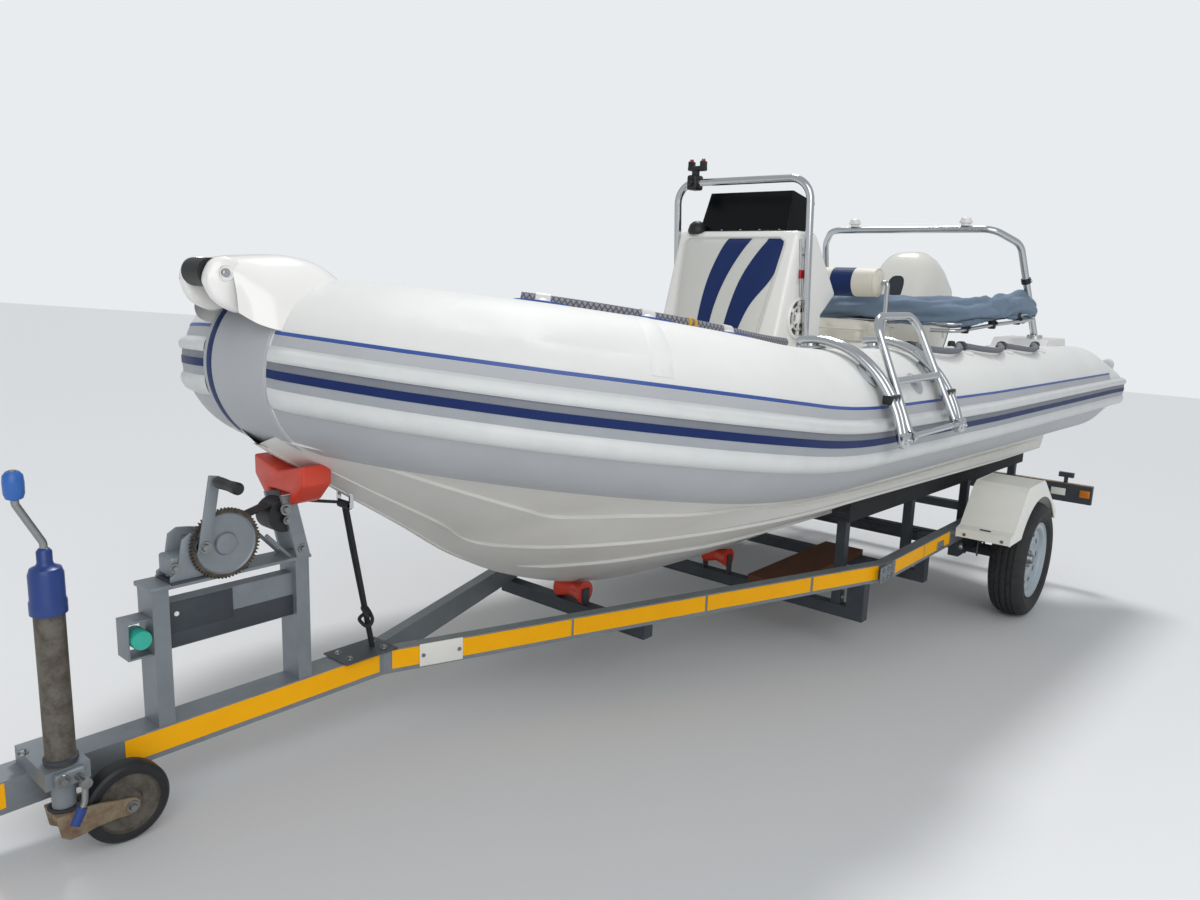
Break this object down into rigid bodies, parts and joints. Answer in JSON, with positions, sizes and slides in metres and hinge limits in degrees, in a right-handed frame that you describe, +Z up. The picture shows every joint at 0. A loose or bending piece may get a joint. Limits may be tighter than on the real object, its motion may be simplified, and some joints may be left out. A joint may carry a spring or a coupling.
{
  "type": "rigid inflatable boat on a road trailer",
  "caption": "Rigid inflatable boat with a centre console, tilted outboard motor and folding ladder, resting on a galvanised single-axle trailer with a jockey wheel",
  "frame": {"origin": "middle of the bounding box's bottom face, on the ground under the boat", "axes": "+X towards the bow and the tow coupling, +Y to port, +Z up"},
  "size_m": [6.503, 2.2594, 2.0411],
  "materials": {
    "tube_skin": "matte off-white coated fabric",
    "strake": "satin grey moulded strip with a navy stripe",
    "gelcoat": "glossy off-white laminate",
    "moulding": "glossy white moulding",
    "dark_glass": "dark tinted acrylic",
    "stainless": "polished stainless tube",
    "black_plastic": "matte black moulding",
    "light_lens": "clear and white lens",
    "vinyl": "cream marine vinyl",
    "canvas": "folded blue-grey canvas",
    "motor_paint": "glossy off-white engine paint",
    "rope": "braided grey line",
    "webbing": "worn woven strap",
    "galvanised": "weathered zinc",
    "worn_steel": "rusty grey-brown steel",
    "red_rubber": "red polyurethane",
    "black_rubber": "black rubber",
    "tyre_rubber": "dusty road tyre",
    "rim_steel": "silver-grey wheel paint",
    "plank_wood": "weathered timber"
  },
  "bodies": {
    "boat_and_trailer": {"tube_port": "tube_skin", "tube_starboard": "tube_skin", "tube_bow": "tube_skin", "tube_pads": "tube_skin", "nose_band": "strake", "rub_strakes": "strake", "hull": "gelcoat", "transom": "gelcoat", "bow_locker": "gelcoat", "bow_moulding": "moulding", "bow_roller": "black_rubber", "console": "moulding", "windscreen": "dark_glass", "console_rail": "stainless", "speakers": "moulding", "helm_controls": "black_plastic", "console_backrest": "vinyl", "seat_boxes": "moulding", "seat_cushions": "vinyl", "seat_rail": "stainless", "backrest_bolster": "vinyl", "arch": "stainless", "arch_lights": "light_lens", "stern_pods": "moulding", "canopy": "canvas", "motor_bracket": "motor_paint", "ladder_rails": "stainless", "lifelines": "rope", "bow_line": "rope", "side_rails": "galvanised", "drawbar": "galvanised", "cross_beams": "galvanised", "keel_rollers": "red_rubber", "plank": "plank_wood", "axle": "galvanised", "jockey_tube": "worn_steel", "jockey_clamp": "galvanised", "coupler": "galvanised", "winch_posts": "galvanised", "stop_roller": "black_rubber", "bow_chock": "red_rubber", "winch": "galvanised", "bow_eye": "stainless", "straps": "webbing", "bunks": "plank_wood", "mudguards": "moulding", "light_board": "black_plastic"},
    "wheel_port": {"tyre_port": "tyre_rubber", "rim_port": "rim_steel"},
    "wheel_starboard": {"tyre_starboard": "tyre_rubber", "rim_starboard": "rim_steel"},
    "jockey_slide": {"jockey_leg": "galvanised"},
    "jockey_swivel": {"jockey_fork": "galvanised"},
    "jockey_roller": {"jockey_wheel": "black_rubber"},
    "boarding_ladder": {"ladder_fold": "stainless"},
    "helm_wheel": {"steering_wheel": "black_plastic"},
    "motor_tilt_frame": {"motor_swivel": "motor_paint"},
    "motor_head": {"motor_cowl": "motor_paint", "motor_leg": "motor_paint"},
    "propeller_spin": {"propeller": "motor_paint"}
  },
  "joints": [
    {"name": "wheel_port_spin", "type": "hinge", "parent": "boat_and_trailer", "child": "wheel_port", "pos_m": [-1.45302, 0.965, 0.29], "axis": [0, 1, 0], "continuous": true},
    {"name": "wheel_starboard_spin", "type": "hinge", "parent": "boat_and_trailer", "child": "wheel_starboard", "pos_m": [-1.45302, -0.965, 0.29], "axis": [0, 1, 0], "continuous": true},
    {"name": "jockey_lower", "type": "slide", "parent": "boat_and_trailer", "child": "jockey_slide", "axis": [-0.0689, 0, -0.9976], "range_m": [0, 0.25]},
    {"name": "jockey_turn", "type": "hinge", "parent": "jockey_slide", "child": "jockey_swivel", "pos_m": [2.63546, 0.115, 0.12697], "axis": [0.0689, 0, 0.9976], "range_deg": [-180, 5]},
    {"name": "jockey_spin", "type": "hinge", "parent": "jockey_swivel", "child": "jockey_roller", "pos_m": [2.50795, 0.115, 0.095], "axis": [0, 1, 0], "continuous": true},
    {"name": "ladder_swing", "type": "hinge", "parent": "boat_and_trailer", "child": "boarding_ladder", "pos_m": [0.50724, 1.145, 1.02471], "axis": [0.9976, 0, -0.0689], "range_deg": [-205, 0]},
    {"name": "motor_tilt", "type": "hinge", "parent": "boat_and_trailer", "child": "motor_tilt_frame", "pos_m": [-2.24658, 0, 1.13668], "axis": [0, 1, 0], "range_deg": [-40, 3]},
    {"name": "motor_steer", "type": "hinge", "parent": "motor_tilt_frame", "child": "motor_head", "pos_m": [-2.38273, 0, 1.19637], "axis": [0.9132, 0, 0.4075], "range_deg": [-30, 30]},
    {"name": "propeller_turn", "type": "hinge", "parent": "motor_head", "child": "propeller_spin", "pos_m": [-3.13037, 0, 1.15401], "axis": [0.4075, 0, -0.9132], "continuous": true},
    {"name": "helm_turn", "type": "hinge", "parent": "boat_and_trailer", "child": "helm_wheel", "pos_m": [-0.38348, 0, 1.66756], "axis": [-0.7079, 0, 0.7063], "range_deg": [-720, 720]}
  ],
  "couplings": [
    {"joint": "helm_turn", "follows": "motor_steer", "ratio": 24}
  ]
}
